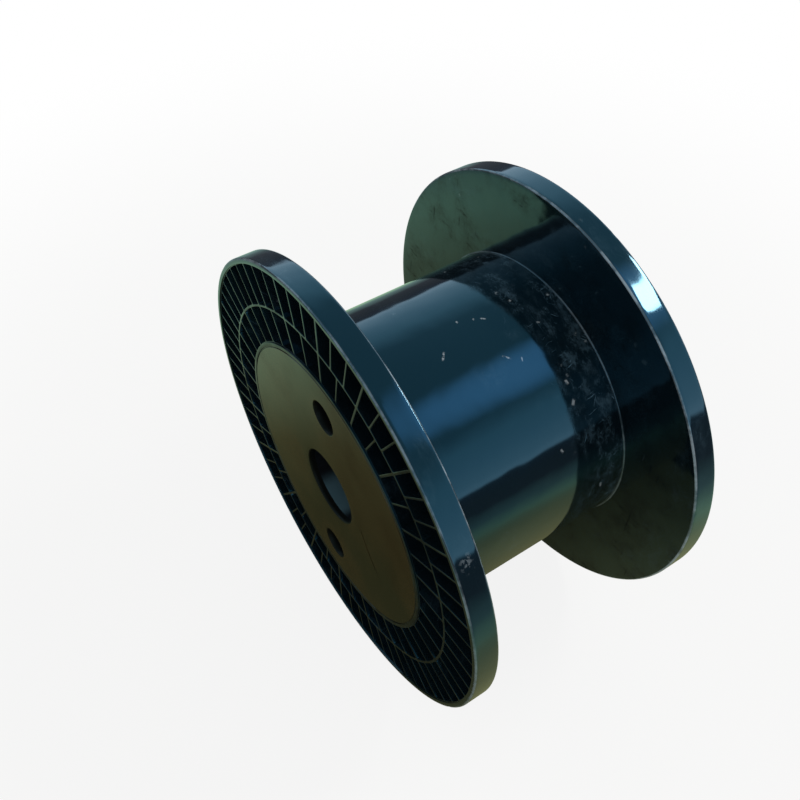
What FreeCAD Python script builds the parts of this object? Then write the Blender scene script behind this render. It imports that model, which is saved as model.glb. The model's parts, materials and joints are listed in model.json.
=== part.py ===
"""Plastic wire spool: two ribbed flanges on a barrel tube and a shaft tube.

The spool lies on its flange rims. Its axis is +Y, +Z is up, and the origin is on the
axis halfway between the flanges. Lengths are in millimetres and angles in degrees.
Each flange is drawn with its outer face at z = 0 and its inner face towards +z, then
turned so that +z points along the spool's axis.
"""
import FreeCAD, Part
import os
from math import asin, cos, degrees, radians, sin

from FreeCAD import Placement, Rotation, Vector

# Whole spool
SPOOL_WIDTH = 200.0
FLANGE_RADIUS = 177.5
FLANGE_THICKNESS = 18.0
BARREL_RADIUS = 112.0
BARREL_WALL = 5.0

# Flange walls
WEB_THICKNESS = 4.0          # plain disc against the wound wire
HUB_PLATE_THICKNESS = 5.0    # closed disc in the middle of the outer face
RIM_WALL = 4.0
BARREL_SOCKET_WALL = 2.9
EDGE_ROUND = 1.5
GLUE_GAP = 0.1               # radial room between a tube and its socket

# Ribs in the outer face
RIB_RECESS = 1.0             # how far the rib tops lie below the rim
MAIN_RIB_THICKNESS = 2.0     # ribs that run from the hub to the rim
FILL_RIB_THICKNESS = 1.5     # ribs that stop at the middle ring
MIDDLE_RING_RADIUS = 142.5
MIDDLE_RING_THICKNESS = 1.8
MAIN_RIB_COUNT = 20
OUTER_RIBS_PER_MAIN = 3
INNER_RIBS_PER_MAIN = 2

# Line round the hub plate
GROOVE_INSET = 3.0           # from the socket wall's outside to the groove
GROOVE_WIDTH = 0.8
GROOVE_DEPTH = 0.6

# Shaft and drive pins
BORE_RADIUS = 30.0
SHAFT_TUBE_WALL = 4.0
SHAFT_SOCKET_WALL = 4.0
DRIVE_HOLE_RADIUS = 12.5
DRIVE_CIRCLE_RADIUS = 80.0
DRIVE_HOLE_COUNT = 2
DRIVE_BOSS_WALL = 3.0
HOLE_CHAMFER = 0.8

# Sizes that follow from the ones above
HUB_RADIUS = BARREL_RADIUS + GLUE_GAP + BARREL_SOCKET_WALL
WEB_FACE = FLANGE_THICKNESS - WEB_THICKNESS
SOCKET_RADIUS = BARREL_RADIUS + GLUE_GAP
SHAFT_TUBE_RADIUS = BORE_RADIUS + SHAFT_TUBE_WALL
SHAFT_SOCKET_RADIUS = SHAFT_TUBE_RADIUS + GLUE_GAP
RIB_FIELD_RADIUS = FLANGE_RADIUS - RIM_WALL
TUBE_LENGTH = SPOOL_WIDTH - 2 * HUB_PLATE_THICKNESS
UPRIGHT = 90.0               # a main rib and a drive hole stand straight up


def on_circle(radius, angle):
    """The point of a circle about the axis at that angle."""
    return Vector(radius * cos(radians(angle)), radius * sin(radians(angle)), 0)


def ring(outer, inner, low, high):
    """A plain tube about the axis between two heights."""
    return Part.makeCylinder(outer, high - low, Vector(0, 0, low)).cut(
        Part.makeCylinder(inner, high - low, Vector(0, 0, low)))


def pocket(inner, outer, start, end, start_rib, end_rib):
    """The space between two ribs: two arcs, and two sides parallel to the ribs' middles."""
    def corner(radius, angle, side, rib):
        return on_circle(radius, angle + side * degrees(asin(rib / 2 / radius)))

    middle = (start + end) / 2
    a = corner(inner, start, 1, start_rib)
    b = corner(outer, start, 1, start_rib)
    c = corner(outer, end, -1, end_rib)
    d = corner(inner, end, -1, end_rib)
    outline = Part.Wire([
        Part.LineSegment(a, b).toShape(),
        Part.Arc(b, on_circle(outer, middle), c).toShape(),
        Part.LineSegment(c, d).toShape(),
        Part.Arc(d, on_circle(inner, middle), a).toShape(),
    ])
    return Part.Face(outline).extrude(Vector(0, 0, WEB_FACE))


def pocket_band(inner, outer, ribs_per_main):
    """All the pockets of one band, with every main rib thicker than the ones between."""
    count = MAIN_RIB_COUNT * ribs_per_main
    pitch = 360.0 / count

    def rib(index):
        return MAIN_RIB_THICKNESS if index % ribs_per_main == 0 else FILL_RIB_THICKNESS

    return [pocket(inner, outer, UPRIGHT + i * pitch, UPRIGHT + (i + 1) * pitch, rib(i), rib(i + 1))
            for i in range(count)]


def flange_blank():
    """The flange before its ribs and holes are cut: rim, web, hub plate and barrel socket."""
    blank = Part.makeCylinder(FLANGE_RADIUS, FLANGE_THICKNESS)
    rim_edges = [e for e in blank.Edges if e.Length > 3 * FLANGE_RADIUS]
    blank = blank.makeFillet(EDGE_ROUND, rim_edges)
    socket = Part.makeCylinder(SOCKET_RADIUS, FLANGE_THICKNESS, Vector(0, 0, HUB_PLATE_THICKNESS))
    recess = ring(RIB_FIELD_RADIUS, HUB_RADIUS, 0, RIB_RECESS)
    groove_outer = HUB_RADIUS - GROOVE_INSET
    groove = ring(groove_outer, groove_outer - GROOVE_WIDTH, 0, GROOVE_DEPTH)
    return blank.cut([socket, recess, groove])


def drive_positions():
    return [on_circle(DRIVE_CIRCLE_RADIUS, UPRIGHT + i * 360.0 / DRIVE_HOLE_COUNT)
            for i in range(DRIVE_HOLE_COUNT)]


def chamfered_hole(radius, centre):
    """A hole through the hub plate and its boss, with a small chamfer at the outer face."""
    hole = Part.makeCylinder(radius, FLANGE_THICKNESS, centre)
    mouth = Part.makeCone(radius + HOLE_CHAMFER, radius, HOLE_CHAMFER, centre)
    return hole.fuse(mouth)


def make_flange():
    """One flange moulding, with its outer face at z = 0."""
    ring_inner = MIDDLE_RING_RADIUS - MIDDLE_RING_THICKNESS / 2
    ring_outer = MIDDLE_RING_RADIUS + MIDDLE_RING_THICKNESS / 2
    pockets = pocket_band(ring_outer, RIB_FIELD_RADIUS, OUTER_RIBS_PER_MAIN)
    pockets += pocket_band(HUB_RADIUS, ring_inner, INNER_RIBS_PER_MAIN)
    flange = flange_blank().cut(pockets)

    shaft_boss = ring(SHAFT_SOCKET_RADIUS + SHAFT_SOCKET_WALL, SHAFT_SOCKET_RADIUS,
                      HUB_PLATE_THICKNESS, FLANGE_THICKNESS)
    boss_height = FLANGE_THICKNESS - HUB_PLATE_THICKNESS
    drive_bosses = [
        Part.makeCylinder(DRIVE_HOLE_RADIUS + DRIVE_BOSS_WALL, boss_height,
                          centre + Vector(0, 0, HUB_PLATE_THICKNESS))
        for centre in drive_positions()]
    flange = flange.fuse([shaft_boss] + drive_bosses)
    holes = [chamfered_hole(DRIVE_HOLE_RADIUS, centre) for centre in drive_positions()]
    bore = Part.makeCylinder(BORE_RADIUS, HUB_PLATE_THICKNESS)
    bore_mouth = Part.makeCone(BORE_RADIUS + HOLE_CHAMFER, BORE_RADIUS, HOLE_CHAMFER)
    barrel_tube_room = ring(SOCKET_RADIUS, BARREL_RADIUS - BARREL_WALL - GLUE_GAP,
                            HUB_PLATE_THICKNESS, FLANGE_THICKNESS)
    return flange.cut(holes + [bore, bore_mouth, barrel_tube_room]).removeSplitter()


def make_tube(radius, wall):
    """A tube that stands on the back of one hub plate and reaches the other."""
    low = HUB_PLATE_THICKNESS
    return ring(radius, radius - wall, low, low + TUBE_LENGTH)


def along_spool(shape, turned=False):
    """Lays the drawn axis along +Y, or along -Y for the flange at the other end."""
    placed = shape.copy()
    if turned:
        placed.Placement = Placement(Vector(0, SPOOL_WIDTH / 2, 0), Rotation(Vector(1, 0, 0), 90))
    else:
        stand_up = Rotation(Vector(1, 0, 0), -90)
        half_turn = Rotation(Vector(0, 0, 1), 180)
        placed.Placement = Placement(Vector(0, -SPOOL_WIDTH / 2, 0), stand_up.multiply(half_turn))
    return placed


def main():
    flange = make_flange()
    nodes = {
        "front_flange": along_spool(flange),
        "back_flange": along_spool(flange, turned=True),
        "barrel_tube": along_spool(make_tube(BARREL_RADIUS, BARREL_WALL)),
        "shaft_tube": along_spool(make_tube(SHAFT_TUBE_RADIUS, SHAFT_TUBE_WALL)),
    }
    os.makedirs("parts", exist_ok=True)
    for name, shape in nodes.items():
        shape.exportStep("parts/" + name + ".step")
        print(name, "valid", shape.isValid(), "solids", len(shape.Solids),
              "cm3", round(shape.Volume / 1000, 1), "faces", len(shape.Faces))


main()
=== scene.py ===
import json
import math

import bmesh
import bpy
import numpy as np
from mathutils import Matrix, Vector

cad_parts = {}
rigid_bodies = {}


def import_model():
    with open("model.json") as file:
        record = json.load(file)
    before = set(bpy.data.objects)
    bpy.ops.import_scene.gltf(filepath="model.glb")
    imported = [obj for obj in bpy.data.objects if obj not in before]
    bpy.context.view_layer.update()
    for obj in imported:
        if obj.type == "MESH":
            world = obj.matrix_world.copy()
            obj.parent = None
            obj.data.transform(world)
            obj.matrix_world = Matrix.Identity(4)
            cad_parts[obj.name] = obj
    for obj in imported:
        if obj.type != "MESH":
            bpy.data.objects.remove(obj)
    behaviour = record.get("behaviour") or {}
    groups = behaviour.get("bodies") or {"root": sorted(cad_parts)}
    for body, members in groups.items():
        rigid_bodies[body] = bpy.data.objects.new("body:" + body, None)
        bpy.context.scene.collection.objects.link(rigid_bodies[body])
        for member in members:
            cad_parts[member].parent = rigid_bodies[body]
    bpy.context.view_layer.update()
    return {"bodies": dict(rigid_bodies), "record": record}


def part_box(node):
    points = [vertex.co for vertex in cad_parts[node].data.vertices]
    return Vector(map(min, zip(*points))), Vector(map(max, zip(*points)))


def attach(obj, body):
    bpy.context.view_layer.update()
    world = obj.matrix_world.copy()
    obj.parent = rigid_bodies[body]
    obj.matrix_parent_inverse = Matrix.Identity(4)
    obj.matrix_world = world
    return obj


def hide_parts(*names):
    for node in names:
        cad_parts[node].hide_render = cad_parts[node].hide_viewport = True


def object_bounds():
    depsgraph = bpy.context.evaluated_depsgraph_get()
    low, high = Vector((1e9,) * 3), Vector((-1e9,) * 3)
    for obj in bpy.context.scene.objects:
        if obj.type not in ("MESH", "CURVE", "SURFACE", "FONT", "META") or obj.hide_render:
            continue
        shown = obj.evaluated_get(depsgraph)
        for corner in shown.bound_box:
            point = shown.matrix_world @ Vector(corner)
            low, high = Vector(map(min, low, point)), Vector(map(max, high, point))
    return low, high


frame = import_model()
mm = 0.001
root = next(iter(frame["bodies"]))

# Sizes that the finished frame already fixes
mounts = {m["name"]: m for m in frame["record"]["mounts"]}
flangeLow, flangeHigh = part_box("front_flange")
barrelLow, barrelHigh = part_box("barrel_tube")
_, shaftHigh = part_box("shaft_tube")
size = {
    "flangeRadius": flangeHigh[0],
    "halfWidth": -flangeLow[1],
    "flangeThickness": flangeHigh[1] - flangeLow[1],
    "barrelRadius": barrelHigh[0],
    "plateThickness": barrelLow[1] - flangeLow[1],
    "shaftTubeRadius": shaftHigh[0],
    "boreRadius": mounts["shaft_bore"]["dims"]["r_mm"] * mm,
    "driveRadius": mounts["front_upper_drive_hole"]["dims"]["r_mm"] * mm,
    "driveCircle": mounts["front_upper_drive_hole"]["pos_m"][2],
}
size["innerFace"] = size["halfWidth"] - size["flangeThickness"]
print("frame loaded", {name: round(value, 4) for name, value in size.items()})

around = 480                              # points in every ring, so that rings and rib fields meet
angleStep = math.radians(360 / around)
weldDistance, tinyEdge = 2e-6, 1e-7       # points this near are one, and edges this short go


# Grids of points and the mesh made from them

# A profile of (radius, height) carried round the axis: x = r sin a, z = r cos a, y = height
def spun(profile, angles):
    r, h = np.asarray(profile, float).T
    a = np.asarray(angles, float)
    return polar(r[:, None], a[None, :], h[:, None])


# A point from its radius, its angle from +Z towards +X and its height along Y
def polar(r, a, h):
    r, a, h = np.broadcast_arrays(r, a, h)
    return np.stack([r * np.sin(a), h, r * np.cos(a)], -1)


# Quads between neighbouring rows and columns of a grid; the last column meets the first where closed
def gridFaces(rows, cols, closed, start):
    i = np.arange(rows - 1)[:, None]
    j = np.arange(cols if closed else cols - 1)[None, :]
    k = (j + 1) % cols
    corners = np.broadcast_arrays(i * cols + j, i * cols + k, (i + 1) * cols + k, (i + 1) * cols + j)
    return start + np.stack(corners, -1).reshape(-1, 4)


# One closed, welded mesh from many grids, with its faces turned outwards and smooth between soft angles
def makeMesh(name, grids, sharpAngle=40.0, reshape=None):
    points, faces, start = [], [], 0
    for grid, closed in grids:
        points.append(grid.reshape(-1, 3))
        faces.append(gridFaces(grid.shape[0], grid.shape[1], closed, start))
        start += grid.shape[0] * grid.shape[1]
    points = np.concatenate(points)
    if reshape is not None:
        points = reshape(points)
    mesh = bpy.data.meshes.new(name)
    mesh.from_pydata(points.tolist(), [], np.concatenate(faces).tolist())
    work = bmesh.new()
    work.from_mesh(mesh)
    bmesh.ops.remove_doubles(work, verts=work.verts, dist=weldDistance)
    bmesh.ops.dissolve_degenerate(work, edges=work.edges, dist=tinyEdge)
    bmesh.ops.recalc_face_normals(work, faces=work.faces)
    openEdges = sum(1 for e in work.edges if len(e.link_faces) != 2)
    work.to_mesh(mesh)
    work.free()
    mesh.shade_smooth()
    mesh.set_sharp_from_angle(angle=math.radians(sharpAngle))
    piece = bpy.data.objects.new(name, mesh)
    bpy.context.scene.collection.objects.link(piece)
    print("made", name, "faces", len(mesh.polygons), "open edges", openEdges)
    return piece


# A quarter round between two straight runs: points (r, h) about its centre, from one angle to another
def quarter(centre, radius, fromAngle, toAngle, steps):
    a = np.radians(np.linspace(fromAngle, toAngle, steps + 1))
    return [(centre[0] + radius * math.cos(t), centre[1] + radius * math.sin(t)) for t in a]


# A number of evenly spaced points from one point of a profile to another, without the first
def run(start, end, count):
    start, end = np.asarray(start), np.asarray(end)
    return [tuple(start + (end - start) * share) for share in np.arange(1, count + 1) / count]


# Flanges

flange = {
    "rimWall": 4.0 * mm, "edgeRound": 1.5 * mm, "ribRecess": 1.0 * mm, "webThickness": 4.0 * mm,
    "middleRing": 142.5 * mm, "middleRingHalf": 0.9 * mm, "mainRibHalf": 1.0 * mm, "fillRibHalf": 0.75 * mm,
    "mainRibs": 20, "outerPerMain": 3, "innerPerMain": 2, "socketWall": 3.0 * mm, "glueGap": 0.1 * mm,
    "grooveInset": 3.0 * mm, "grooveWidth": 0.8 * mm, "grooveDepth": 0.6 * mm, "softEdge": 0.3 * mm,
    "cornerRound": 1.2 * mm, "floorRound": 1.0 * mm, "wallLean": 0.1 * mm, "ledge": 0.4 * mm,
    "holeChamfer": 0.8 * mm, "weldBead": 0.8 * mm, "driveBossWall": 3.0 * mm, "shaftBossWall": 4.0 * mm,
    # rings that the drive holes' patches and the plate between them share
    "bandInner": 60.0 * mm, "bandOuter": 100.0 * mm, "holeSector": math.radians(15.0), "bandSteps": 12,
    "pocketSteps": 6, "backTurn": 143.0,   # degrees between the two flanges' knocks
}
flange["hubRadius"] = size["barrelRadius"] + flange["socketWall"]
flange["ribField"] = size["flangeRadius"] - flange["rimWall"]
flange["webHeight"] = size["flangeThickness"] - flange["webThickness"]


# Outline of a sector-shaped cell, once round: for each point its share across and along, and its
# distance in from the corners, so that the corners can be rounded
def cellOutline(across, along, corner):
    shares, shifts = [], []
    inward = corner * (1 - math.sqrt(0.5))
    sides = [(across, (0, 0), (1, 0)), (along, (1, 0), (0, 1)),
             (across, (1, 1), (-1, 0)), (along, (0, 1), (0, -1))]
    turns = [(1, 1), (-1, 1), (-1, -1), (1, -1)]
    for (count, origin, way), turn in zip(sides, turns):
        for k in range(count):
            share = np.array(origin, float)
            shift = np.zeros(2)
            if k == 0:
                shift = inward * np.array(turn, float)
            elif k == 1 and corner > 0:
                shift = corner * np.array(way, float)
            elif k == count - 1 and corner > 0:
                share = share + np.array(way, float)
                shift = -corner * np.array(way, float)
            else:
                share = share + np.array(way, float) * k / count
            shares.append(share)
            shifts.append(shift)
    return np.array(shares), np.array(shifts)


# A pocket between two ribs, as rings that step in from the middle of its ribs, over their rounded
# tops, down the walls, round the floor and to the middle: radius and angle at each ring come from
# the share across and along, less that ring's offset from each side
def ribPocket(inner, outer, width, insets, across, along):
    top, floor = flange["ribRecess"], flange["webHeight"]
    soft, low, lean = flange["softEdge"], flange["floorRound"], flange["wallLean"]
    plain, _ = cellOutline(across, along, 0.0)
    shares, shifts = cellOutline(across, along, flange["cornerRound"])
    straightShift = np.zeros_like(shifts)
    tops = [(0.0, top), (1 - soft / flange["fillRibHalf"], top), (0.88, top + 0.25 * soft),
            (0.97, top + 0.6 * soft), (1.0, top + soft)]
    rings = []
    for index, (share, height) in enumerate(tops):
        place, shift = (plain, straightShift) if index == 0 else (shares, shifts)
        rings.append((place, shift, share, 0.0, 0.0, height))
    rings.append((shares, shifts, 1.0, lean, 0.0, floor - low))
    for t in (0.35, 0.7, 1.0):
        grown = lean + low * (1 - math.cos(t * math.pi / 2))
        rings.append((shares, shifts, 1.0, grown, 0.0, floor - low + low * math.sin(t * math.pi / 2)))
    for towardsMiddle in (0.5, 1.0):
        rings.append((shares, shifts, 1.0, lean + low, towardsMiddle, floor))
    insetInner, insetOuter, insetStart, insetEnd = insets
    r, a, h = [], [], []
    for place, shift, share, extra, towardsMiddle, height in rings:
        u = place[:, 0] + (0.5 - place[:, 0]) * towardsMiddle
        v = place[:, 1] + (0.5 - place[:, 1]) * towardsMiddle
        du, dv = shift[:, 0] * (1 - towardsMiddle), shift[:, 1] * (1 - towardsMiddle)
        low0, low1 = insetInner * share + extra, insetOuter * share + extra
        radius = (inner + low0) + v * (outer - inner - low0 - low1) + dv
        startGap, endGap = insetStart * share + extra, insetEnd * share + extra
        arc = startGap + u * (radius * width - startGap - endGap) + du
        r.append(radius)
        a.append(arc / radius)
        h.append(np.full_like(radius, height))
    return np.array(r), np.array(a), np.array(h)


# All the pockets of one band: the kinds of pocket between two main ribs, each turned to its places
def ribBand(inner, outer, perMain, insetInner, insetOuter):
    count = flange["mainRibs"] * perMain
    width = 2 * math.pi / count
    across = int(round(width / angleStep))
    grids = []
    for kind in range(perMain):
        startHalf = flange["mainRibHalf"] if kind == 0 else flange["fillRibHalf"]
        endHalf = flange["mainRibHalf"] if kind == perMain - 1 else flange["fillRibHalf"]
        insets = (insetInner, insetOuter, startHalf, endHalf)
        r, a, h = ribPocket(inner, outer, width, insets, across, flange["pocketSteps"])
        turns = (np.arange(flange["mainRibs"]) * perMain + kind) * width
        grids += [(polar(r, a + turn, h), True) for turn in turns]
    return grids


# The patch round one drive hole: rings that go from a sector's edge to the hole's rim, over its
# chamfer, down through the plate and its boss, back up the boss's outside and out to the same sector
def drivePatch(middleAngle):
    f, hole = flange, size["driveRadius"]
    across, along = int(round(2 * f["holeSector"] / angleStep)), f["bandSteps"]
    plain, _ = cellOutline(across, along, 0.0)
    r = f["bandInner"] + plain[:, 1] * (f["bandOuter"] - f["bandInner"])
    a = middleAngle - f["holeSector"] + plain[:, 0] * 2 * f["holeSector"]
    edgeX, edgeZ = r * np.sin(a), r * np.cos(a)
    centreX = size["driveCircle"] * math.sin(middleAngle)
    centreZ = size["driveCircle"] * math.cos(middleAngle)
    away = np.arctan2(edgeX - centreX, edgeZ - centreZ)
    boss = hole + f["driveBossWall"]
    plate, deep = size["plateThickness"], size["flangeThickness"]
    mouth = hole + f["holeChamfer"]
    rings = [(0.0, 0, 0.0)] + [(t, mouth, 0.0) for t in (0.4, 0.75, 0.95, 1.0)]
    rings += [(1.0, mouth - 0.3 * f["holeChamfer"], 0.15 * f["holeChamfer"]), (1.0, hole, f["holeChamfer"]),
              (1.0, hole, plate), (1.0, hole, 0.6 * deep), (1.0, hole, deep), (1.0, boss, deep),
              (1.0, boss, plate), (0.5, boss, plate), (0.0, boss, plate)]
    x = np.array([edgeX + (centreX + reach * np.sin(away) - edgeX) * t for t, reach, _ in rings])
    z = np.array([edgeZ + (centreZ + reach * np.cos(away) - edgeZ) * t for t, reach, _ in rings])
    y = np.array([np.full_like(edgeX, height) for _, _, height in rings])
    return np.stack([x, y, z], -1), True


# Profile of the rim, web and socket, from the rib field's outer edge round to the back of the hub plate
def rimProfile():
    f = flange
    outer, thick, edge = size["flangeRadius"], size["flangeThickness"], f["edgeRound"]
    socket, plate = size["barrelRadius"] + f["glueGap"], size["plateThickness"]
    tubeInside = barrelInside() - f["glueGap"]
    inner = f["ribField"]
    lip = 0.4 * mm
    points = [(inner, f["ribRecess"]), (inner, f["ribRecess"] * 0.7)]
    points += quarter((inner + lip, lip), lip, 180, 270, 3)
    points += run(points[-1], (outer - edge, 0), 2)
    points += quarter((outer - edge, edge), edge, 270, 360, 6)[1:]
    points += run(points[-1], (outer, thick - edge), 8)
    points += quarter((outer - edge, thick - edge), edge, 0, 90, 6)[1:]
    points += run(points[-1], (socket + f["weldBead"], thick), 22)
    points += quarter((socket, thick), f["weldBead"], 0, 90, 5)[1:]   # the weld round the foot of the barrel
    points += run(points[-1], (socket, plate), 3)
    points += run(points[-1], (tubeInside, plate), 1)
    points += run(points[-1], (f["bandOuter"], plate), 1)
    return points


# Profile of the hub's middle, from the back of the plate over the shaft boss and through the bore
def boreProfile():
    f = flange
    plate, thick, chamfer = size["plateThickness"], size["flangeThickness"], f["holeChamfer"]
    socket = size["shaftTubeRadius"] + f["glueGap"]
    boss, bore = socket + f["shaftBossWall"], size["boreRadius"]
    points = [(f["bandInner"], plate), (boss, plate), (boss, thick), (socket, thick), (socket, plate),
              (bore, plate), (bore, 0.5 * plate), (bore, chamfer)]
    points += [(bore + 0.35 * chamfer, 0.45 * chamfer), (bore + 0.75 * chamfer, 0.1 * chamfer),
               (bore + 1.2 * chamfer, 0)]
    points += run(points[-1], (f["bandInner"], 0), 6)
    return points


# Profile of the hub plate's edge: the flat, the groove, the raised lip and its drop to the ribs
def lipProfile():
    f = flange
    hub, soft = f["hubRadius"], 0.25 * mm
    grooveOuter = hub - f["grooveInset"]
    grooveInner = grooveOuter - f["grooveWidth"]
    points = [(f["bandOuter"], 0.0)] + run((f["bandOuter"], 0.0), (grooveInner - soft, 0.0), 4)
    points += [(grooveInner, soft), (grooveInner + 0.1 * mm, f["grooveDepth"]),
               (grooveOuter - 0.1 * mm, f["grooveDepth"]), (grooveOuter, soft)]
    points += quarter((grooveOuter + soft, soft), soft, 180, 270, 2)[1:]
    points += run(points[-1], (hub - 2 * soft, 0.0), 2)
    points += quarter((hub - 2 * soft, 2 * soft), 2 * soft, 270, 360, 3)[1:]
    points += [(hub, f["ribRecess"])]
    return points


def barrelInside():
    return size["barrelRadius"] - barrel["wall"]


# Small knocks in the rim: each takes a shallow bite whose depth falls off as a bell curve round its
# middle. Angles are in degrees from the top towards +X, and lengths in millimetres
knocks = [
    {"angle": 4, "height": 0.5, "length": 1.8, "depth": 0.4},
    {"angle": 22, "height": 0.5, "length": 1.4, "depth": 0.35},
    {"angle": 37, "height": 0.5, "length": 1.4, "depth": 0.35},
    {"angle": 58, "height": 17.5, "length": 1.8, "depth": 0.4},
    {"angle": 118, "height": 0.5, "length": 1.6, "depth": 0.35},
    {"angle": -64, "height": 17.5, "length": 1.8, "depth": 0.35},
    {"angle": -130, "height": 0.5, "length": 1.5, "depth": 0.3},
]


def knocked(points, turn):
    r = np.hypot(points[:, 0], points[:, 2])
    a = np.arctan2(points[:, 0], points[:, 2])
    onRim = r > size["flangeRadius"] - 3 * mm
    bite = np.zeros(len(points))
    for knock in knocks:
        away = (a - math.radians(knock["angle"] + turn) + math.pi) % (2 * math.pi) - math.pi
        arc = away * size["flangeRadius"] / (knock["length"] * mm)
        up = (points[:, 1] - knock["height"] * mm) / (1.6 * mm)
        bite += knock["depth"] * mm * np.exp(-arc ** 2 - up ** 2)
    kept = np.where(onRim, (r - bite) / np.maximum(r, 1e-9), 1.0)
    return np.stack([points[:, 0] * kept, points[:, 1], points[:, 2] * kept], -1)


barrel = {"wall": 5.0 * mm, "softEnd": 0.3 * mm, "steps": 60}


# One flange with its outer face at height 0, then placed at its end of the spool
def makeFlange(name, node, atBack):
    f = flange
    angles = np.arange(around) * angleStep
    grids = [(spun(profile, angles), True) for profile in (rimProfile(), boreProfile(), lipProfile())]
    ring = f["middleRing"]
    grids += ribBand(ring, f["ribField"], f["outerPerMain"], f["middleRingHalf"], f["ledge"])
    grids += ribBand(f["hubRadius"], ring, f["innerPerMain"], f["ledge"], f["middleRingHalf"])
    band = np.linspace(f["bandInner"], f["bandOuter"], f["bandSteps"] + 1)
    for middle in (0.0, math.pi):
        grids.append(drivePatch(middle))
        first, last = middle + f["holeSector"], middle + math.pi - f["holeSector"]
        plain = np.arange(first, last + angleStep / 2, angleStep)
        for height in (0.0, size["plateThickness"]):
            grids.append((spun([(r, height) for r in band], plain), False))
    turn = f["backTurn"] if atBack else 0.0

    def place(points):
        points = knocked(points, turn)
        side = size["halfWidth"] - points[:, 1] if atBack else points[:, 1] - size["halfWidth"]
        return np.stack([points[:, 0], side, points[:, 2]], -1)

    piece = makeMesh(name, grids, reshape=place)
    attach(piece, root)
    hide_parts(node)
    return piece


# A tube between the two hub plates: outside, inside and both ends as one closed profile
def makeTube(name, node, radius, wall):
    low, high, soft = barrelLow[1], barrelHigh[1], barrel["softEnd"]
    profile = [(radius, low + soft)] + run((radius, low + soft), (radius, high - soft), barrel["steps"])
    profile += [(radius - soft, high), (radius - wall, high), (radius - wall, 0.0), (radius - wall, low),
                (radius - soft, low), (radius, low + soft)]
    piece = makeMesh(name, [(spun(profile, np.arange(around) * angleStep), True)])
    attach(piece, root)
    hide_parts(node)
    return piece


# Materials

# Chains nodes in the tree of a material or world: add("ShaderNodeX", inputs) makes a node and links or
# sets its sockets
class Nodes:
    def __init__(self, owner):
        owner.use_nodes = True
        self.owner = owner
        self.tree = owner.node_tree
        self.shader = self.tree.nodes.get("Principled BSDF")

    def add(self, kind, inputs=None, **settings):
        node = self.tree.nodes.new(kind)
        for key, value in settings.items():
            setattr(node, key, value)
        for key, value in (inputs or {}).items():
            self.put(node.inputs[key], value)
        return node

    def put(self, socket, value):
        if isinstance(value, bpy.types.NodeSocket):
            self.tree.links.new(value, socket)
        else:
            socket.default_value = value

    def maths(self, operation, *values, clamp=False):
        node = self.add("ShaderNodeMath", operation=operation, use_clamp=clamp)
        for socket, value in zip(node.inputs, values):
            self.put(socket, value)
        return node.outputs[0]

    def times(self, first, *others):
        for other in others:
            first = self.maths("MULTIPLY", first, other)
        return first

    def most(self, first, *others):
        for other in others:
            first = self.maths("MAXIMUM", first, other)
        return first

    def less(self, value, taken):
        return self.maths("SUBTRACT", value, taken)

    def timesPlus(self, value, factor, added):
        return self.maths("MULTIPLY_ADD", value, factor, added)

    def distance(self, x, y):
        return self.maths("SQRT", self.maths("ADD", self.times(x, x), self.times(y, y)))

    # 0 below low, 1 above high, smooth between
    def step(self, value, low, high):
        inputs = {"Value": value, "From Min": low, "From Max": high}
        node = self.add("ShaderNodeMapRange", inputs, interpolation_type="SMOOTHSTEP", clamp=True)
        return node.outputs["Result"]

    # 1 below low, 0 above high, smooth between
    def fade(self, value, low, high):
        return self.less(1.0, self.step(value, low, high))

    # A soft hump that is 1 where the value is at the middle, and 0 beyond the reach
    def near(self, value, middle, reach):
        away = self.maths("ABSOLUTE", self.less(value, middle))
        return self.fade(away, reach * 0.4, reach)

    def noise(self, place, scale, detail, roughness):
        inputs = {"Vector": place, "Scale": scale, "Detail": detail, "Roughness": roughness}
        return self.add("ShaderNodeTexNoise", inputs).outputs["Fac"]

    # Soft patches: a noise, faded in between two of its values
    def patches(self, place, scale, detail, roughness, low, high):
        return self.step(self.noise(place, scale, detail, roughness), low, high)

    def stretched(self, place, scale, turn=(0, 0, 0)):
        inputs = {"Vector": place, "Scale": scale, "Rotation": turn}
        return self.add("ShaderNodeMapping", inputs).outputs["Vector"]

    def vectorMaths(self, operation, a, b):
        return self.add("ShaderNodeVectorMath", {0: a, 1: b}, operation=operation).outputs

    # A number between 0 and 1 that differs from cell to cell
    def chance(self, cells):
        return self.add("ShaderNodeSeparateColor", {0: cells.outputs["Color"]}).outputs[0]

    def mixColour(self, factor, a, b):
        return self.add("ShaderNodeMix", {0: factor, 6: a, 7: b}, data_type="RGBA").outputs[2]

    def mixShader(self, factor, a, b):
        return self.add("ShaderNodeMixShader", {0: factor, 1: a.outputs[0], 2: b.outputs[0]})


def rgba(colour):
    return (*colour, 1.0)


# Finds each point's place: Object coordinates, and the same as angle round the axis, arc on the
# barrel, length along the axis and radius
def findPlaces(n):
    n.here = n.add("ShaderNodeTexCoord").outputs["Object"]
    n.x, n.along, n.z = n.add("ShaderNodeSeparateXYZ", {"Vector": n.here}).outputs
    n.angle = n.maths("ARCTAN2", n.x, n.z)
    n.arc = n.times(n.angle, size["barrelRadius"])
    n.radius = n.distance(n.x, n.z)


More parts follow.
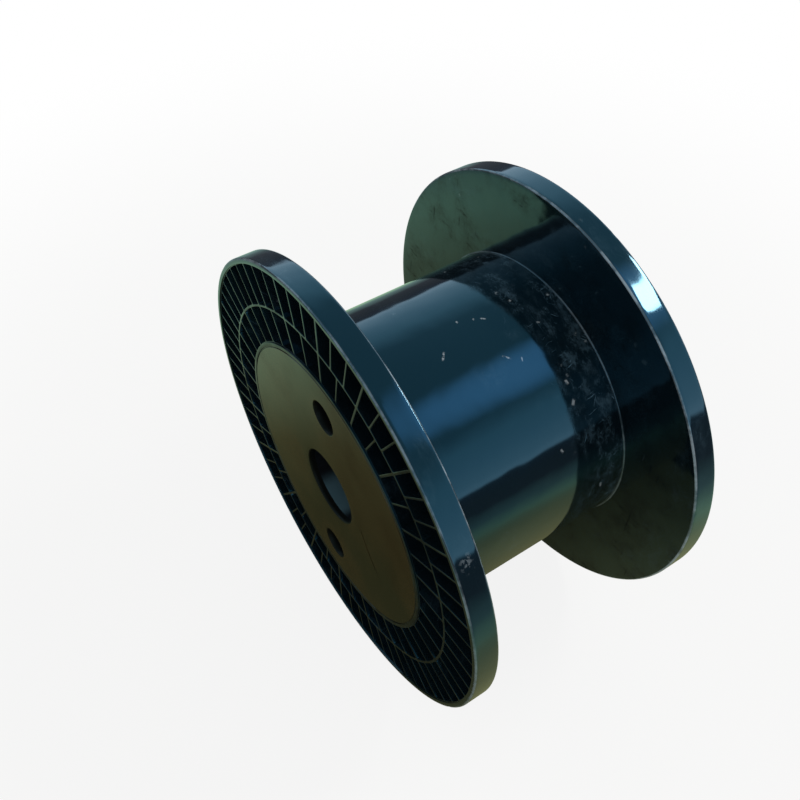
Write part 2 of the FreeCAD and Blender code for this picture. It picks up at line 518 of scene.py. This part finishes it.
# Marks that all the plastic shares. A pattern is a noise's scale, detail and roughness, then the two
# values of the noise between which it fades in. A shape stretches the unrolled surface under a pattern.
marks = {
    "haze": (16.0, 5.0, 0.62, 0.50, 0.78), "hazeAmount": 0.5, "dustAmount": 0.35,
    "hairlines": (1.0, 2.0, 0.5, 0.66, 0.74), "hairlineShape": (22.0, 1100.0, 1.0),
    "hairlinePlaces": (34.0, 3.0, 0.6, 0.46, 0.62), "hairlinesWorn": 0.30, "hairlinesPlain": 0.05,
    "smears": (1.0, 8.0, 0.8, 0.45, 0.66), "smearShape": (60.0, 95.0, 1.0), "smearTurn": (0, 0, 0.4),
    # nicks: length, width, turn and the share of cells that hold one
    "nicks": [(0.026, 0.0018, 0.5, 0.14), (0.012, 0.0016, -0.7, 0.07),
              (0.030, 0.0016, 1.35, 0.16), (0.008, 0.0026, 0.9, 0.08)],
    "nickSize": 0.16, "nickAmount": 0.9, "nickFaint": (110.0, 3.0, 0.7, 0.38, 0.72),
    "nickBend": (0.005, 0.005, 0.0), "nickBendScale": 90.0,
    "curl": (55.0, 3.0, 0.55), "curlLine": (0.5, 0.010), "curlPlaces": (24.0, 2.0, 0.5, 0.53, 0.60),
    "curlAmount": 0.35,
    "speckCells": 150.0, "speckSize": (0.04, 0.30), "speckTorn": (420.0, 2.0, 0.6, 0.40, 0.56),
    "speckShare": (0.88, 0.97), "speckPaint": 0.8, "speckColour": (0.42, 0.46, 0.46),
    "evenWear": 0.25, "dentStrength": 0.5, "dentDepth": 0.00008,
}


# Short marks that all lie one way: long thin cells on the unrolled surface, of which a few
# hold a mark about a third of the cell's length, bent a little by a noise
def shortMarks(n, flat, length, width, turn, share):
    bend = n.add("ShaderNodeTexNoise", {"Vector": flat, "Scale": marks["nickBendScale"], "Detail": 1.0})
    shift = n.vectorMaths("MULTIPLY", bend.outputs["Color"], marks["nickBend"])[0]
    bent = n.vectorMaths("ADD", flat, shift)[0]
    turned = n.stretched(bent, (1, 1, 1), (0, 0, turn))
    cells = n.add("ShaderNodeTexVoronoi", {
        "Vector": n.stretched(turned, (1 / length, 1 / width, 0.0)), "Scale": 1.0, "Randomness": 1.0},
        voronoi_dimensions="2D")
    mark = n.fade(cells.outputs["Distance"], marks["nickSize"] * 0.6, marks["nickSize"] * 1.4)
    return n.times(mark, n.step(n.chance(cells), 1 - share, 1 - share + 0.02))


# Curled scuffs: a thin line where a noise passes through one of its values, in a few places
def curls(n):
    line = n.near(n.noise(n.here, *marks["curl"]), *marks["curlLine"])
    return n.times(line, n.patches(n.here, *marks["curlPlaces"]))


# Pale specks: the torn middles of a few cells
def specks(n):
    cells = n.add("ShaderNodeTexVoronoi", {"Vector": n.here, "Scale": marks["speckCells"], "Randomness": 1.0})
    middle = n.fade(cells.outputs["Distance"], *marks["speckSize"])
    chosen = n.step(n.chance(cells), *marks["speckShare"])
    return n.times(middle, n.patches(n.here, *marks["speckTorn"]), chosen)


plasticLook = {
    "colour": (0.0020, 0.0055, 0.0080), "scuffed": (0.090, 0.160, 0.210), "dust": (0.014, 0.018, 0.015),
    "specularTint": (0.36, 0.78, 1.0), "specularLevel": 0.8, "roughness": 0.070, "hazyRoughness": 0.12,
    "scuffRoughness": 0.45, "waves": 48.0, "waveHeight": 0.00026, "smears": 0.42,
    # rubbedAndSheen: pale colour of the painted highlight lines on the flange rims and barrel foot, and of
    # the real crumbled scrape
    "rubbedAndSheen": (0.30, 0.36, 0.40), "gouged": (0.34, 0.38, 0.40),
}


# Black plastic with a blue cast: a clear gloss with slow waves, hazy patches, hairlines round the
# spool, smears, short crossed scratches, curled scuffs and pale specks. wornPlace gives how much wear
# a place has had, from 0 to 1, stainAndSheenPlace paints over its colour (real gouges and scrapes, and
# painted highlights and reflections on the flanges, hub plate and bore), and dullPlace where the gloss is
# rubbed off
def plastic(name, look, wornPlace=None, markAmount=1.0, speckAmount=1.0, stainAndSheenPlace=None, dullPlace=None):
    n = Nodes(bpy.data.materials.new(name))
    findPlaces(n)
    flat = n.add("ShaderNodeCombineXYZ", {"X": n.arc, "Y": n.maths("ADD", n.along, n.radius)}).outputs[0]
    worn = wornPlace(n) if wornPlace else marks["evenWear"]
    hairlines = n.patches(n.stretched(flat, marks["hairlineShape"]), *marks["hairlines"])
    hairlines = n.times(hairlines, n.patches(n.here, *marks["hairlinePlaces"]))
    smears = n.patches(n.stretched(flat, marks["smearShape"], marks["smearTurn"]), *marks["smears"])
    scratched = n.most(*[shortMarks(n, flat, *kind) for kind in marks["nicks"]])
    scratched = n.times(scratched, n.patches(n.here, *marks["nickFaint"]), marks["nickAmount"])
    marked = n.most(scratched, n.times(curls(n), marks["curlAmount"]), n.times(smears, look["smears"]))
    drawn = n.times(hairlines, n.timesPlus(worn, marks["hairlinesWorn"], marks["hairlinesPlain"]))
    marked = n.times(n.most(n.times(marked, worn), drawn), markAmount)
    bright = n.times(specks(n), n.times(worn, speckAmount))
    marked = n.maths("MAXIMUM", marked, bright, clamp=True)

    hazy = n.times(n.patches(n.here, *marks["haze"]), marks["hazeAmount"])
    colour = n.mixColour(n.times(hazy, marks["dustAmount"]), rgba(look["colour"]), rgba(look["dust"]))
    if stainAndSheenPlace:
        colour = stainAndSheenPlace(n, colour)
    colour = n.mixColour(marked, colour, rgba(look["scuffed"]))
    colour = n.mixColour(n.times(bright, marks["speckPaint"]), colour, rgba(marks["speckColour"]))
    n.put(n.shader.inputs["Base Color"], colour)

    rough = n.maths("ADD", look["roughness"], n.times(hazy, look["hazyRoughness"]))
    rough = n.maths("ADD", rough, n.times(marked, look["scuffRoughness"] - look["roughness"]))
    n.put(n.shader.inputs["Roughness"], rough)
    n.shader.inputs["Specular Tint"].default_value = rgba(look["specularTint"])
    level = look["specularLevel"]
    n.shader.inputs["Specular IOR Level"].default_value = level
    if dullPlace:
        dulled = n.maths("MULTIPLY_ADD", dullPlace(n), -level, level, clamp=True)
        n.put(n.shader.inputs["Specular IOR Level"], dulled)

    slow = n.add("ShaderNodeBump", {
        "Height": n.noise(n.here, look["waves"], 1.0, 0.4), "Strength": 1.0, "Distance": look["waveHeight"]})
    dents = n.add("ShaderNodeBump", {
        "Height": n.less(1.0, marked), "Strength": marks["dentStrength"], "Distance": marks["dentDepth"],
        "Normal": slow.outputs["Normal"]})
    n.put(n.shader.inputs["Normal"], dents.outputs["Normal"])
    return n.owner


barrelMarks = {
    # the worn band beside the back flange: where it starts and is full, and how its edge wanders
    "band": (0.052, 0.082), "edge": (28.0, 3.0, 0.6), "edgeWander": 0.045,
    "clumps": (38.0, 3.0, 0.65, 0.38, 0.60), "betweenClumps": 0.25,
    "elsewhere": (26.0, 2.0, 0.5, 0.60, 0.70), "elsewhereAmount": 0.22,
    "torn": (520.0, 2.0, 0.6, 0.34, 0.52), "gougeAmount": 0.75,
    # gouges: degrees from the top towards +X, place along the axis, length, width and lean
    "gouges": [
        (0.5, 7 * mm, 2.4 * mm, 2.0 * mm, 0.2), (4.0, 24 * mm, 5.0 * mm, 1.6 * mm, 0.9),
        (2.5, 18 * mm, 2.2 * mm, 1.8 * mm, 0.0), (10.5, -18 * mm, 8.5 * mm, 1.9 * mm, -0.7),
        (21.0, 20 * mm, 7.5 * mm, 1.6 * mm, 0.8), (24.0, 29 * mm, 4.0 * mm, 1.4 * mm, -0.4),
        (2.0, 50 * mm, 2.4 * mm, 2.2 * mm, 0.3), (15.0, 56 * mm, 4.0 * mm, 1.8 * mm, 0.9),
        (38.0, 50.5 * mm, 5.0 * mm, 2.6 * mm, 0.2), (45.5, 49 * mm, 5.5 * mm, 3.0 * mm, -0.6),
        (59.5, 29 * mm, 4.0 * mm, 2.2 * mm, 0.4), (85.0, 61 * mm, 6.0 * mm, 2.2 * mm, 0.1),
        (-150.0, 10 * mm, 6.0 * mm, 1.8 * mm, 0.5), (130.0, -25 * mm, 5.0 * mm, 1.6 * mm, -0.8)],
}


# Wear of the barrel: a thick band beside the back flange, in clumps, and a few places elsewhere
def barrelWear(n):
    b = barrelMarks
    edge = n.timesPlus(n.noise(n.here, *b["edge"]), b["edgeWander"], n.along)
    clumps = n.timesPlus(n.patches(n.here, *b["clumps"]), 1 - b["betweenClumps"], b["betweenClumps"])
    elsewhere = n.times(n.patches(n.here, *b["elsewhere"]), b["elsewhereAmount"])
    return n.most(n.times(n.step(edge, *b["band"]), clumps), elsewhere)


# A few pale gouges in the barrel: each is a short line whose ends and sides fade, torn by a noise
def barrelGouges(n, colour):
    b = barrelMarks
    torn = n.times(n.patches(n.here, *b["torn"]), b["gougeAmount"])
    for degrees, place, length, width, lean in b["gouges"]:
        x = n.less(n.arc, math.radians(degrees) * size["barrelRadius"])
        y = n.less(n.along, place)
        lengthwise = n.maths("ADD", n.times(x, math.cos(lean)), n.times(y, math.sin(lean)))
        sideways = n.less(n.times(y, math.cos(lean)), n.times(x, math.sin(lean)))
        gouge = n.times(n.near(lengthwise, 0.0, length / 2), n.near(sideways, 0.0, width / 2), torn)
        colour = n.mixColour(gouge, colour, rgba(plasticLook["gouged"]))
    return colour


flangeMarks = {
    "edgeReach": 2.2 * mm, "rubbedAndSheen": (60.0, 3.0, 0.6, 0.44, 0.60), "rubbedAmount": 0.9,
    "elsewhere": (22.0, 3.0, 0.6, 0.50, 0.64), "elsewhereAmount": 0.30,
    # painted highlights as pale lines: how broken they are, their reach from the edge, and how strong where
    # whole and broken
    "brokenHighlight": (30.0, 5.0, 0.7, 0.42, 0.60), "highlightInset": 0.3 * mm, "highlightReach": 1.1 * mm, "outerHighlight": 0.55,
    "highlightAmount": (0.70, 0.18), "footHighlightAmount": (0.20, 0.07),
    # the crumbled scrape low on the front rim, in radians from the top and in metres
    "scrapeAngle": math.radians(56.0), "scrapeAlong": -91.5 * mm, "scrapeLength": 5.2 * mm,
    "scrapeHeight": 3.6 * mm, "crumbs": (300.0, 3.0, 0.65), "crumbEdge": (0.60, 0.68), "crumbLift": 0.16,
    "crumbAmount": 0.28,
    # dull strokes across and up the inner faces, and clouds
    "across": (1.0, 3.0, 0.6, 0.565, 0.63), "acrossShape": (60.0, 0.0, 330.0), "acrossTurn": (0.0, 0.15, 0.0),
    "upward": (1.0, 3.0, 0.6, 0.59, 0.645), "upwardShape": (420.0, 0.0, 24.0), "upwardTurn": (0.0, -0.1, 0.0),
    "strokePlaces": (26.0, 3.0, 0.6, 0.48, 0.60), "strokeAmount": 0.85,
    "clouds": (26.0, 6.0, 0.7, 0.44, 0.68), "cloudAmount": 0.6,
    "ribPatches": (16.0, 3.0, 0.6, 0.38, 0.62), "ribDull": 0.45,
}


# Wear of a flange: along the rim's edges and in patches elsewhere
def flangeWear(n):
    f = flangeMarks
    side, rim = n.maths("ABSOLUTE", n.along), size["flangeRadius"]
    edges = n.most(*[n.near(side, size[edge], f["edgeReach"]) for edge in ("halfWidth", "innerFace")])
    rubbedAndSheen = n.times(edges, n.step(n.radius, rim - 2.5 * mm, rim - 0.8 * mm), n.patches(n.here, *f["rubbedAndSheen"]))
    elsewhere = n.times(n.patches(n.here, *f["elsewhere"]), f["elsewhereAmount"])
    return n.most(n.times(rubbedAndSheen, f["rubbedAmount"]), elsewhere)


# Pale places on a flange, painted over the rest: painted highlights as broken pale lines along the rim's
# edges and at the foot of the barrel, and one crumbled scrape low on the front rim, thickest in its middle
def flangeScrapesAndHighlights(n, colour):
    f, rim = flangeMarks, size["flangeRadius"]
    side = n.maths("ABSOLUTE", n.along)
    brokenHighlight = n.patches(n.here, *f["brokenHighlight"])
    # painted highlights: pale lines on the rounded rim edges and at the barrel's foot, where the lamp's light
    # would catch them
    innerEdgeHighlight = n.near(side, size["innerFace"] + f["highlightInset"], f["highlightReach"])
    outerEdgeHighlight = n.times(n.near(side, size["halfWidth"] - f["highlightInset"], f["highlightReach"]), f["outerHighlight"])
    atRim = n.near(n.radius, rim - 0.4 * mm, 1.2 * mm)
    line = n.times(n.most(innerEdgeHighlight, outerEdgeHighlight), atRim, n.timesPlus(brokenHighlight, *f["highlightAmount"]))

    footHighlight = n.near(n.radius, size["barrelRadius"] + 0.5 * mm, 1.0 * mm)
    atFace = n.fade(side, size["innerFace"] - 0.1 * mm, size["innerFace"] + 0.3 * mm)
    footHighlight = n.times(footHighlight, atFace, n.timesPlus(brokenHighlight, *f["footHighlightAmount"]))

    across = n.times(n.less(n.angle, f["scrapeAngle"]), rim / f["scrapeLength"])
    upward = n.maths("DIVIDE", n.less(n.along, f["scrapeAlong"]), f["scrapeHeight"])
    thick = n.fade(n.distance(across, upward), 0.3, 1.8)
    crumbs = n.step(n.timesPlus(thick, f["crumbLift"], n.noise(n.here, *f["crumbs"])), *f["crumbEdge"])
    onRim = n.step(n.radius, flange["ribField"], flange["ribField"] + 1.0 * mm)
    crumbs = n.times(crumbs, thick, onRim, f["crumbAmount"])
    return n.mixColour(n.most(line, footHighlight, crumbs), colour, rgba(plasticLook["rubbedAndSheen"]))


# Where a flange is dull: long noise strokes up and across its inner face, where the wire has rubbed,
# cloudy patches there, and the rib field on its outer face
def flangeDull(n):
    f, face = flangeMarks, size["innerFace"]
    side = n.maths("ABSOLUTE", n.along)
    across = n.patches(n.stretched(n.here, f["acrossShape"], f["acrossTurn"]), *f["across"])
    upward = n.patches(n.stretched(n.here, f["upwardShape"], f["upwardTurn"]), *f["upward"])
    strokes = n.times(n.most(across, upward), n.patches(n.here, *f["strokePlaces"]), f["strokeAmount"])
    clouds = n.times(n.patches(n.here, *f["clouds"]), f["cloudAmount"])
    inside = n.times(n.fade(side, face + 0.1 * mm, face + 0.4 * mm), n.most(strokes, clouds))
    outside = n.step(side, size["halfWidth"] - 1.6 * mm, size["halfWidth"] - 1.2 * mm)
    ribs = n.times(outside, n.fade(n.radius, flange["ribField"] - 0.5 * mm, flange["ribField"]))
    uneven = n.timesPlus(n.patches(n.here, *f["ribPatches"]), f["ribDull"], f["ribDull"])
    return n.most(inside, n.times(ribs, uneven))


hubPlateLook = {
    "colour": (0.0048, 0.0040, 0.0022), "scuffed": (0.045, 0.047, 0.036), "dust": (0.018, 0.016, 0.009),
    "specularTint": (0.90, 0.92, 0.82), "specularLevel": 0.45, "roughness": 0.15, "hazyRoughness": 0.12,
    "scuffRoughness": 0.40, "smears": 0.1, "waves": 18.0, "waveHeight": 0.00020,
    # warmReflection and its patches: painted reflection of the warm room, in brown
    "warmReflection": (0.025, 0.0135, 0.0045), "warmReflectionPatches": (11.0, 3.0, 0.5, 0.36, 0.58), "warmReflectionAmount": 0.85,
    "clouds": (13.0, 4.0, 0.6, 0.40, 0.75), "cloudAmount": 0.75,
    "scratchFrom": (0.037, 0.0055), "scratchTo": (0.069, -0.038), "scratchHalf": 0.0012,
    "scratchBend": (22.0, 1.0, 0.4), "scratchWander": 0.012,
}


# Painted reflection on the hub plate: brown noise patches that stand in for the room's warm reflection
def hubPlateWarmReflection(n, colour):
    look = hubPlateLook
    warmPatches = n.times(n.patches(n.here, *look["warmReflectionPatches"]), look["warmReflectionAmount"])
    return n.mixColour(warmPatches, colour, rgba(look["warmReflection"]))


# Cloudy gloss on the hub plate and one long scratch low down: the scratch is where the distance from
# the line between its two ends, bent by a noise, is small
def hubPlateDull(n):
    look = hubPlateLook
    (x0, z0), (x1, z1) = look["scratchFrom"], look["scratchTo"]
    length = math.hypot(x1 - x0, z1 - z0)
    ux, uz = (x1 - x0) / length, (z1 - z0) / length
    off = n.maths("ADD", n.times(n.x, -uz), n.times(n.z, ux))
    off = n.timesPlus(n.noise(n.here, *look["scratchBend"]), look["scratchWander"], off)
    sofar = n.maths("ADD", n.times(n.x, ux), n.times(n.z, uz))
    line = n.near(off, z0 * ux - x0 * uz + look["scratchWander"] / 2, look["scratchHalf"])
    reach = n.near(sofar, x0 * ux + z0 * uz + length / 2, length * 0.7)
    clouds = n.times(n.patches(n.here, *look["clouds"]), look["cloudAmount"])
    return n.most(clouds, n.times(line, reach))


# The walls of the bore's mouth and the drive holes: painted shade, a darker and duller copy of the hub
# plate's plastic
shadedHoleWallLook = dict(hubPlateLook, colour=(0.0030, 0.0030, 0.0024), specularTint=(1.0, 1.0, 0.9),
                    specularLevel=0.12, roughness=0.45)

# The bore's wall, with a painted reflection: its lower side painted pale blue-grey
shaftTubeLook = dict(plasticLook, colour=(0.0060, 0.0055, 0.0065), specularLevel=0.2, roughness=0.32,
                     rubbedAndSheen=(0.050, 0.098, 0.122), sheenAngle=-168.0, sheenReach=math.radians(44.0))


# Painted reflection: a pale blue-grey band down the bore's lower side, round sheenAngle
def shaftSheen(n, colour):
    look = shaftTubeLook
    turns = (look["sheenAngle"], look["sheenAngle"] + 360.0)   # the same place from either side
    low = n.most(*[n.near(n.angle, math.radians(turn), look["sheenReach"]) for turn in turns])
    return n.mixColour(low, colour, rgba(look["rubbedAndSheen"]))


front = makeFlange("frontFlange", "front_flange", False)
back = makeFlange("backFlange", "back_flange", True)
barrelPiece = makeTube("barrel", "barrel_tube", size["barrelRadius"], barrel["wall"])
shaftPiece = makeTube("shaftTube", "shaft_tube", size["shaftTubeRadius"],
                      size["shaftTubeRadius"] - size["boreRadius"])

flangePlastic = plastic("flangePlastic", plasticLook, flangeWear, markAmount=0.7, speckAmount=0.6,
                        stainAndSheenPlace=flangeScrapesAndHighlights, dullPlace=flangeDull)
barrelPlastic = plastic("barrelPlastic", plasticLook, barrelWear, speckAmount=0.9, stainAndSheenPlace=barrelGouges)
hubPlatePlastic = plastic("hubPlatePlastic", hubPlateLook, markAmount=0.4, speckAmount=0.1,
                          stainAndSheenPlace=hubPlateWarmReflection, dullPlace=hubPlateDull)
shadedHoleWallPlastic = plastic("shadedHoleWallPlastic", shadedHoleWallLook, markAmount=0.2, speckAmount=0.0)
shaftTubePlastic = plastic("shaftTubePlastic", shaftTubeLook, markAmount=0.3, speckAmount=0.1,
                           stainAndSheenPlace=shaftSheen)
print("materials made")


# A flange's faces by their middles: hub plate inside the groove, the shaded hole-wall copy near a hole
# (painted shade), plastic elsewhere
def paintFlange(piece):
    for material in (flangePlastic, hubPlatePlastic, shadedHoleWallPlastic):
        piece.data.materials.append(material)
    centres = np.empty(len(piece.data.polygons) * 3)
    piece.data.polygons.foreach_get("center", centres)
    x, y, z = centres.reshape(-1, 3).T
    r, chamfer = np.hypot(x, z), flange["holeChamfer"]
    outside = np.abs(y) > size["halfWidth"] - chamfer * 0.5
    plate = outside & (r < flange["hubRadius"] - flange["grooveInset"] - flange["grooveWidth"])
    fromDrive = np.minimum(np.hypot(x, z - size["driveCircle"]), np.hypot(x, z + size["driveCircle"]))
    hole = (r < size["boreRadius"] + chamfer) | (fromDrive < size["driveRadius"] + chamfer)
    piece.data.polygons.foreach_set("material_index", np.where(hole, 2, plate).astype(np.int32))


paintFlange(front)
paintFlange(back)
barrelPiece.data.materials.append(barrelPlastic)
shaftPiece.data.materials.append(shaftTubePlastic)

# Floor, backdrop and light

stage = {
    "floorHalf": 6.0, "floorColour": (0.50, 0.50, 0.47), "floorRoughness": 0.9,
    # how white the floor is shown, near the spool and far off, and where it changes
    "shownNear": 0.87, "shownFar": 1.0, "fade": (0.35, 1.0),
    # what the floor shows in the gloss, by distance from the spool in metres: painted shadow, dark near the
    # spool and brighter further out, and a painted pale pool of light on it
    "mirroredShadeAndLight": [
        (0.0, (0.060, 0.062, 0.028)), (0.16, (0.068, 0.070, 0.030)), (0.24, (0.12, 0.13, 0.060)),
        (0.32, (0.30, 0.40, 0.24)), (0.43, (0.44, 0.72, 0.48)), (0.62, (0.24, 0.38, 0.36)),
        (1.15, (0.10, 0.11, 0.13)), (6.0, (0.10, 0.11, 0.13))],
    "litPool": (0.42, 0.44, 0.22), "litPoolPlace": (0.26, 0.06), "litPoolReach": 0.26,
    # the room's light in the gloss by the sine of the height above the floor line, and its plain light
    "room": [
        (0.0, (0.10, 0.11, 0.14)), (0.055, (0.10, 0.13, 0.18)), (0.085, (1.05, 1.38, 1.65)),
        (0.16, (0.80, 1.16, 1.42)), (0.36, (0.58, 0.96, 1.22)), (0.53, (0.46, 0.84, 1.06)),
        (0.70, (0.20, 0.42, 0.54)), (1.0, (0.18, 0.38, 0.48))],
    "plainLight": (0.72, 0.72, 0.72), "white": (1.0, 1.0, 1.0),
    # a soft glow in the room: azimuth and height, and its inner and outer reach, in degrees
    "glow": (0.48, 0.92, 1.6), "glowPlace": (59.0, 53.0), "glowReach": (3.0, 18.0),
}

# An oblong lamp that faces the spool; angles in degrees from +X towards +Y and above the floor
keyLamp = {"azimuth": 71.0, "height": 47.5, "distance": 1.7, "width": 0.62, "tall": 0.20, "power": 11.0}

view = {"lens": 39.32, "shift": (0.0057, -0.0255), "place": (0.3279, -0.2577, 0.5340), "tilt": 41.00,
        "heading": 56.70}


def ramp(n, value, stops):
    node = n.add("ShaderNodeValToRGB", {0: value})
    while len(node.color_ramp.elements) < len(stops):
        node.color_ramp.elements.new(0.5)
    for element, (at, colour) in zip(node.color_ramp.elements, stops):
        element.position = at
        element.color = rgba(colour)
    return node.outputs[0]


# A flat floor that is plain to diffuse light, white to the camera, and the room's floor in the gloss, with
# the spool's shadow and a pool of light painted into that gloss colour
def makeFloor():
    half, low = stage["floorHalf"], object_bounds()[0][2]
    mesh = bpy.data.meshes.new("floor")
    corners = [(-half, -half, low), (half, -half, low), (half, half, low), (-half, half, low)]
    mesh.from_pydata(corners, [], [(0, 1, 2, 3)])
    floor = bpy.data.objects.new("floor", mesh)
    bpy.context.scene.collection.objects.link(floor)

    n = Nodes(bpy.data.materials.new("floorPaint"))
    n.shader.inputs["Base Color"].default_value = rgba(stage["floorColour"])
    n.shader.inputs["Roughness"].default_value = stage["floorRoughness"]
    here = n.add("ShaderNodeTexCoord").outputs["Object"]
    x, y, _ = n.add("ShaderNodeSeparateXYZ", {"Vector": here}).outputs
    away = n.distance(x, y)
    poolX, poolY = stage["litPoolPlace"]
    litPool = n.fade(n.distance(n.less(x, poolX), n.less(y, poolY)), 0.0, stage["litPoolReach"])
    stops = [(at / half, colour) for at, colour in stage["mirroredShadeAndLight"]]
    # painted shadow and light: the gloss colour is dark near the spool and has a pale pool of light painted
    # in
    shadeAndLightInGloss = n.mixColour(litPool, ramp(n, n.maths("DIVIDE", away, half), stops), rgba(stage["litPool"]))
    near, far = stage["shownNear"], stage["shownFar"]
    shown = n.timesPlus(n.step(away, *stage["fade"]), far - near, near)
    path = n.add("ShaderNodeLightPath").outputs
    white = n.add("ShaderNodeEmission", {"Color": rgba(stage["white"]), "Strength": 1.0})
    mirror = n.add("ShaderNodeEmission", {"Color": shadeAndLightInGloss, "Strength": 1.0})
    painted = n.mixShader(n.times(path["Is Camera Ray"], shown), n.shader, white)
    painted = n.mixShader(n.most(path["Is Glossy Ray"], path["Is Transmission Ray"]), painted, mirror)
    n.put(n.tree.nodes["Material Output"].inputs["Surface"], painted.outputs[0])
    floor.data.materials.append(n.owner)


# A direction from its azimuth (from +X towards +Y) and height, in degrees
def direction(azimuth, height):
    a, e = math.radians(azimuth), math.radians(height)
    return math.cos(e) * math.cos(a), math.cos(e) * math.sin(a), math.sin(e)


# The world: white to the camera, the room's bands of light and its glow in the gloss, plain otherwise
def makeWorld():
    world = bpy.data.worlds.new("studio")
    bpy.context.scene.world = world
    n = Nodes(world)
    n.tree.nodes.clear()
    place = n.add("ShaderNodeTexCoord").outputs["Generated"]
    bands = ramp(n, n.add("ShaderNodeSeparateXYZ", {0: place}).outputs["Z"], stage["room"])
    facing = n.vectorMaths("DOT_PRODUCT", place, direction(*stage["glowPlace"]))
    whole, nothing = (math.cos(math.radians(reach)) for reach in stage["glowReach"])
    inputs = {0: n.step(facing["Value"], nothing, whole), 6: bands, 7: rgba(stage["glow"])}
    light = n.add("ShaderNodeMix", inputs, data_type="RGBA", blend_type="ADD")
    room = n.add("ShaderNodeBackground", {"Color": light.outputs[2]})
    plain = n.add("ShaderNodeBackground", {"Color": rgba(stage["plainLight"])})
    white = n.add("ShaderNodeBackground", {"Color": rgba(stage["white"])})
    path = n.add("ShaderNodeLightPath").outputs
    lit = n.mixShader(path["Is Glossy Ray"], plain, room)
    n.add("ShaderNodeOutputWorld", {"Surface": n.mixShader(path["Is Camera Ray"], lit, white).outputs[0]})


def makeLamp():
    data = bpy.data.lights.new("keyLamp", "AREA")
    data.shape, data.size, data.size_y = "RECTANGLE", keyLamp["width"], keyLamp["tall"]
    data.energy = keyLamp["power"]
    light = bpy.data.objects.new("keyLamp", data)
    light.location = [keyLamp["distance"] * part for part in direction(keyLamp["azimuth"], keyLamp["height"])]
    light.rotation_euler = (math.radians(90 - keyLamp["height"]), 0, math.radians(keyLamp["azimuth"] + 90))
    bpy.context.scene.collection.objects.link(light)


def makeCamera():
    data = bpy.data.cameras.new("camera")
    data.lens, data.sensor_width = view["lens"], 36.0
    data.shift_x, data.shift_y = view["shift"]
    camera = bpy.data.objects.new("camera", data)
    camera.location = view["place"]
    camera.rotation_euler = (math.radians(view["tilt"]), 0, math.radians(view["heading"]))
    bpy.context.scene.collection.objects.link(camera)
    bpy.context.scene.camera = camera


makeFloor()
makeWorld()
makeLamp()
makeCamera()
bpy.context.scene.view_settings.view_transform = "Standard"
print("stage set")
